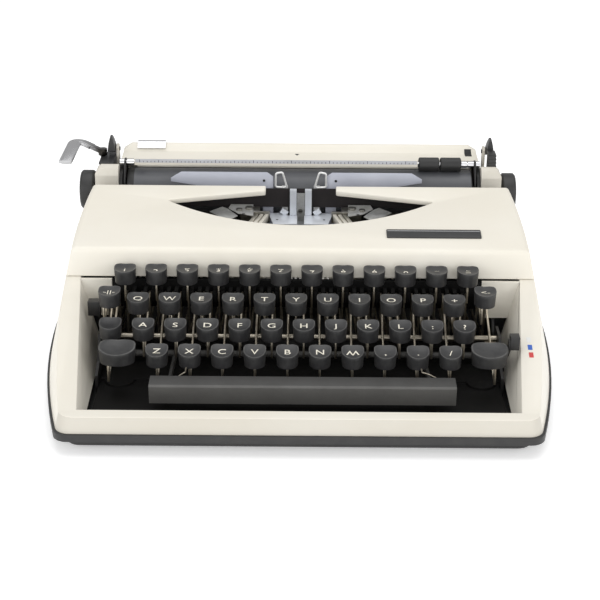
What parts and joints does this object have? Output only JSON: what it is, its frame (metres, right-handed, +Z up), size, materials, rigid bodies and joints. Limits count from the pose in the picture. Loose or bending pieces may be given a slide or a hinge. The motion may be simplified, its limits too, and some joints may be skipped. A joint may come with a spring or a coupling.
{
  "type": "portable typewriter",
  "caption": "Portable typewriter with a cream case, dark base, open keyboard well, lift-off cover, sliding carriage with platen and chrome return lever.",
  "frame": {"origin": "under the middle of the machine, on the surface it stands on", "axes": "+X to the typist's right along the carriage, +Y to the back of the machine, +Z up"},
  "size_m": [0.3181, 0.314, 0.1102],
  "materials": {
    "tray": "satin dark grey",
    "cream": "satin moulded cream",
    "black_metal": "semi-matt black",
    "steel": "plated pressed steel",
    "bright": "bright chrome",
    "keycap": "charcoal",
    "bar_grey": "grey",
    "rubber": "matt black",
    "platen": "dark grey",
    "clear": "clear plastic",
    "ribbon": "inked cotton",
    "brass": "plain",
    "felt": "felt",
    "black_plastic": "black"
  },
  "bodies": {
    "machine": {"base_tray": "tray", "rubber_feet": "rubber", "case_screws": "steel", "lower_housing": "cream", "floor_apron": "black_metal", "side_frames": "steel", "lever_rods": "steel", "key_comb": "black_metal", "carriage_bed": "steel", "bell": "brass", "type_guide": "steel", "segment_brackets": "steel", "card_holders": "clear", "spool_cups": "black_metal"},
    "cover": {"top_cover": "cream", "badge_plate": "black_metal"},
    "home_key_01": {"home_key_01": "keycap"},
    "home_key_02": {"home_key_02": "keycap"},
    "home_key_03": {"home_key_03": "keycap"},
    "home_key_04": {"home_key_04": "keycap"},
    "home_key_05": {"home_key_05": "keycap"},
    "home_key_06": {"home_key_06": "keycap"},
    "home_key_07": {"home_key_07": "keycap"},
    "home_key_08": {"home_key_08": "keycap"},
    "home_key_09": {"home_key_09": "keycap"},
    "home_key_10": {"home_key_10": "keycap"},
    "home_key_11": {"home_key_11": "keycap"},
    "number_row": {"number_row_keys": "keycap"},
    "top_row": {"top_row_keys": "keycap"},
    "bottom_row": {"bottom_row_keys": "keycap"},
    "space_bar": {"space_bar": "bar_grey"},
    "shift": {"shift_keys": "keycap"},
    "shift_lock": {"shift_lock_key": "keycap"},
    "margin_release": {"margin_release_key": "keycap"},
    "backspace": {"backspace_key": "keycap"},
    "color_selector": {"color_selector": "black_plastic"},
    "touch_lever": {"touch_lever": "black_plastic"},
    "basket": {"type_segment": "steel", "type_bars": "steel", "type_rest": "felt"},
    "center_bar": {"center_type_bar": "steel"},
    "vibrator": {"ribbon_vibrator": "steel", "ribbon": "ribbon"},
    "spool_left": {"spool_left": "black_metal"},
    "spool_right": {"spool_right": "black_metal"},
    "carriage": {"carriage_frame": "steel", "carriage_end_caps": "cream", "paper_table": "cream"},
    "platen": {"platen": "platen", "platen_knobs": "black_plastic"},
    "feed_rollers": {"feed_rollers": "rubber"},
    "paper_bail": {"paper_bail": "bright"},
    "bail_rollers": {"bail_rollers": "rubber"},
    "paper_guide": {"paper_guide": "bright"},
    "margin_stop_left": {"margin_stop_left": "steel"},
    "margin_stop_right": {"margin_stop_right": "steel"},
    "carriage_release": {"carriage_release": "black_plastic"},
    "return_lever": {"return_lever": "bright"},
    "escapement_wheel": {"escapement_wheel": "steel"},
    "spring_drum": {"spring_drum": "steel"}
  },
  "joints": [
    {"name": "cover_lift", "type": "slide", "parent": "machine", "child": "cover", "axis": [0, 0, 1], "range_m": [0, 0.06]},
    {"name": "home_key_01_press", "type": "hinge", "parent": "machine", "child": "home_key_01", "pos_m": [0, 0.108, 0.0115], "axis": [1, 0, 0], "range_deg": [0, 1.5], "stiffness_Nm_per_rad": 0.5, "springref_deg": -5.73},
    {"name": "home_key_02_press", "type": "hinge", "parent": "machine", "child": "home_key_02", "pos_m": [0, 0.108, 0.0115], "axis": [1, 0, 0], "range_deg": [0, 1.5], "stiffness_Nm_per_rad": 0.5, "springref_deg": -5.73},
    {"name": "home_key_03_press", "type": "hinge", "parent": "machine", "child": "home_key_03", "pos_m": [0, 0.108, 0.0115], "axis": [1, 0, 0], "range_deg": [0, 1.5], "stiffness_Nm_per_rad": 0.5, "springref_deg": -5.73},
    {"name": "home_key_04_press", "type": "hinge", "parent": "machine", "child": "home_key_04", "pos_m": [0, 0.108, 0.0115], "axis": [1, 0, 0], "range_deg": [0, 1.5], "stiffness_Nm_per_rad": 0.5, "springref_deg": -5.73},
    {"name": "home_key_05_press", "type": "hinge", "parent": "machine", "child": "home_key_05", "pos_m": [0, 0.108, 0.0115], "axis": [1, 0, 0], "range_deg": [0, 1.5], "stiffness_Nm_per_rad": 0.5, "springref_deg": -5.73},
    {"name": "home_key_06_press", "type": "hinge", "parent": "machine", "child": "home_key_06", "pos_m": [0, 0.108, 0.0115], "axis": [1, 0, 0], "range_deg": [0, 1.5], "stiffness_Nm_per_rad": 0.5, "springref_deg": -5.73},
    {"name": "home_key_07_press", "type": "hinge", "parent": "machine", "child": "home_key_07", "pos_m": [0, 0.108, 0.0115], "axis": [1, 0, 0], "range_deg": [0, 1.5], "stiffness_Nm_per_rad": 0.5, "springref_deg": -5.73},
    {"name": "home_key_08_press", "type": "hinge", "parent": "machine", "child": "home_key_08", "pos_m": [0, 0.108, 0.0115], "axis": [1, 0, 0], "range_deg": [0, 1.5], "stiffness_Nm_per_rad": 0.5, "springref_deg": -5.73},
    {"name": "home_key_09_press", "type": "hinge", "parent": "machine", "child": "home_key_09", "pos_m": [0, 0.108, 0.0115], "axis": [1, 0, 0], "range_deg": [0, 1.5], "stiffness_Nm_per_rad": 0.5, "springref_deg": -5.73},
    {"name": "home_key_10_press", "type": "hinge", "parent": "machine", "child": "home_key_10", "pos_m": [0, 0.108, 0.0115], "axis": [1, 0, 0], "range_deg": [0, 1.5], "stiffness_Nm_per_rad": 0.5, "springref_deg": -5.73},
    {"name": "home_key_11_press", "type": "hinge", "parent": "machine", "child": "home_key_11", "pos_m": [0, 0.108, 0.0115], "axis": [1, 0, 0], "range_deg": [0, 1.5], "stiffness_Nm_per_rad": 0.5, "springref_deg": -5.73},
    {"name": "number_row_press", "type": "hinge", "parent": "machine", "child": "number_row", "pos_m": [0, 0.108, 0.0115], "axis": [1, 0, 0], "range_deg": [0, 1.87], "stiffness_Nm_per_rad": 6, "springref_deg": -5.73},
    {"name": "top_row_press", "type": "hinge", "parent": "machine", "child": "top_row", "pos_m": [0, 0.108, 0.0115], "axis": [1, 0, 0], "range_deg": [0, 1.67], "stiffness_Nm_per_rad": 5.5, "springref_deg": -5.73},
    {"name": "bottom_row_press", "type": "hinge", "parent": "machine", "child": "bottom_row", "pos_m": [0, 0.108, 0.0115], "axis": [1, 0, 0], "range_deg": [0, 1.36], "stiffness_Nm_per_rad": 5, "springref_deg": -5.73},
    {"name": "shift_press", "type": "hinge", "parent": "machine", "child": "shift", "pos_m": [0, 0.108, 0.0115], "axis": [1, 0, 0], "range_deg": [0, 1.36], "stiffness_Nm_per_rad": 2, "springref_deg": -5.73},
    {"name": "shift_lock_press", "type": "hinge", "parent": "machine", "child": "shift_lock", "pos_m": [0, 0.108, 0.0115], "axis": [1, 0, 0], "range_deg": [0, 1.5], "stiffness_Nm_per_rad": 0.5, "springref_deg": -5.73},
    {"name": "margin_release_press", "type": "hinge", "parent": "machine", "child": "margin_release", "pos_m": [0, 0.108, 0.0115], "axis": [1, 0, 0], "range_deg": [0, 1.67], "stiffness_Nm_per_rad": 0.5, "springref_deg": -5.73},
    {"name": "backspace_press", "type": "hinge", "parent": "machine", "child": "backspace", "pos_m": [0, 0.108, 0.0115], "axis": [1, 0, 0], "range_deg": [0, 1.67], "stiffness_Nm_per_rad": 0.5, "springref_deg": -5.73},
    {"name": "space_bar_press", "type": "hinge", "parent": "machine", "child": "space_bar", "pos_m": [0, -0.058, 0.016], "axis": [1, 0, 0], "range_deg": [0, 3.6], "stiffness_Nm_per_rad": 0.5, "springref_deg": -11.46},
    {"name": "color_select", "type": "hinge", "parent": "machine", "child": "color_selector", "pos_m": [0.1224, -0.074, 0.0165], "axis": [1, 0, 0], "range_deg": [-8, 8]},
    {"name": "touch_set", "type": "hinge", "parent": "machine", "child": "touch_lever", "pos_m": [-0.1224, -0.046, 0.0165], "axis": [1, 0, 0], "range_deg": [-8, 8]},
    {"name": "basket_shift", "type": "slide", "parent": "machine", "child": "basket", "axis": [0, 0, -1], "range_m": [0, 0.006]},
    {"name": "center_bar_swing", "type": "hinge", "parent": "basket", "child": "center_bar", "pos_m": [0.00153, 0.02582, 0.02719], "axis": [-0.9996, -0.0227, -0.0191], "range_deg": [0, 101.9]},
    {"name": "ribbon_lift", "type": "slide", "parent": "machine", "child": "vibrator", "axis": [0, 0, 1], "range_m": [0, 0.005]},
    {"name": "spool_left_spin", "type": "hinge", "parent": "machine", "child": "spool_left", "pos_m": [-0.108, 0.005, 0.067], "axis": [0, 0, 1], "continuous": true},
    {"name": "spool_right_spin", "type": "hinge", "parent": "machine", "child": "spool_right", "pos_m": [0.108, 0.005, 0.067], "axis": [0, 0, 1], "continuous": true},
    {"name": "carriage_travel", "type": "slide", "parent": "machine", "child": "carriage", "axis": [1, 0, 0], "range_m": [-0.105, 0.105]},
    {"name": "platen_turn", "type": "hinge", "parent": "carriage", "child": "platen", "pos_m": [0, 0.071, 0.076], "axis": [1, 0, 0], "continuous": true},
    {"name": "feed_turn", "type": "hinge", "parent": "carriage", "child": "feed_rollers", "pos_m": [0, 0.0886, 0.066], "axis": [1, 0, 0], "continuous": true},
    {"name": "bail_lift", "type": "hinge", "parent": "carriage", "child": "paper_bail", "pos_m": [0, 0.066, 0.062], "axis": [1, 0, 0], "range_deg": [0, 12], "stiffness_Nm_per_rad": 0.3, "springref_deg": -17.19},
    {"name": "bail_roller_spin", "type": "hinge", "parent": "paper_bail", "child": "bail_rollers", "pos_m": [0.093, 0.0696, 0.096], "axis": [1, 0, 0], "continuous": true},
    {"name": "paper_guide_slide", "type": "slide", "parent": "carriage", "child": "paper_guide", "axis": [1, 0, 0], "range_m": [-0.008, 0.15]},
    {"name": "margin_left_slide", "type": "slide", "parent": "carriage", "child": "margin_stop_left", "axis": [1, 0, 0], "range_m": [-0.02, 0.08]},
    {"name": "margin_right_slide", "type": "slide", "parent": "carriage", "child": "margin_stop_right", "axis": [1, 0, 0], "range_m": [-0.08, 0.02]},
    {"name": "carriage_release_tip", "type": "hinge", "parent": "carriage", "child": "carriage_release", "pos_m": [0, 0.088, 0.0996], "axis": [1, 0, 0], "range_deg": [0, 12], "stiffness_Nm_per_rad": 0.1, "springref_deg": -17.19},
    {"name": "return_lever_swing", "type": "hinge", "parent": "carriage", "child": "return_lever", "pos_m": [-0.1347, 0.082, 0.099], "axis": [0, 0, 1], "range_deg": [0, 30], "stiffness_Nm_per_rad": 0.1, "springref_deg": -17.19},
    {"name": "escapement_turn", "type": "hinge", "parent": "machine", "child": "escapement_wheel", "pos_m": [0, 0.101, 0.049], "axis": [0, 1, 0], "range_deg": [-765, 765]},
    {"name": "spring_drum_turn", "type": "hinge", "parent": "machine", "child": "spring_drum", "pos_m": [-0.095, 0.105, 0.0463], "axis": [0, 1, 0], "range_deg": [-535, 535]}
  ],
  "couplings": [
    {"joint": "ribbon_lift", "follows": "home_key_06_press", "m_per_rad": 0.19079},
    {"joint": "center_bar_swing", "follows": "home_key_06_press", "ratio": 67.865},
    {"joint": "basket_shift", "follows": "shift_press", "m_per_rad": 0.25178},
    {"joint": "spool_right_spin", "follows": "spool_left_spin", "ratio": 1},
    {"joint": "feed_turn", "follows": "platen_turn", "ratio": -3},
    {"joint": "escapement_turn", "follows": "carriage_travel", "rad_per_m": 125},
    {"joint": "spring_drum_turn", "follows": "carriage_travel", "rad_per_m": 87}
  ]
}
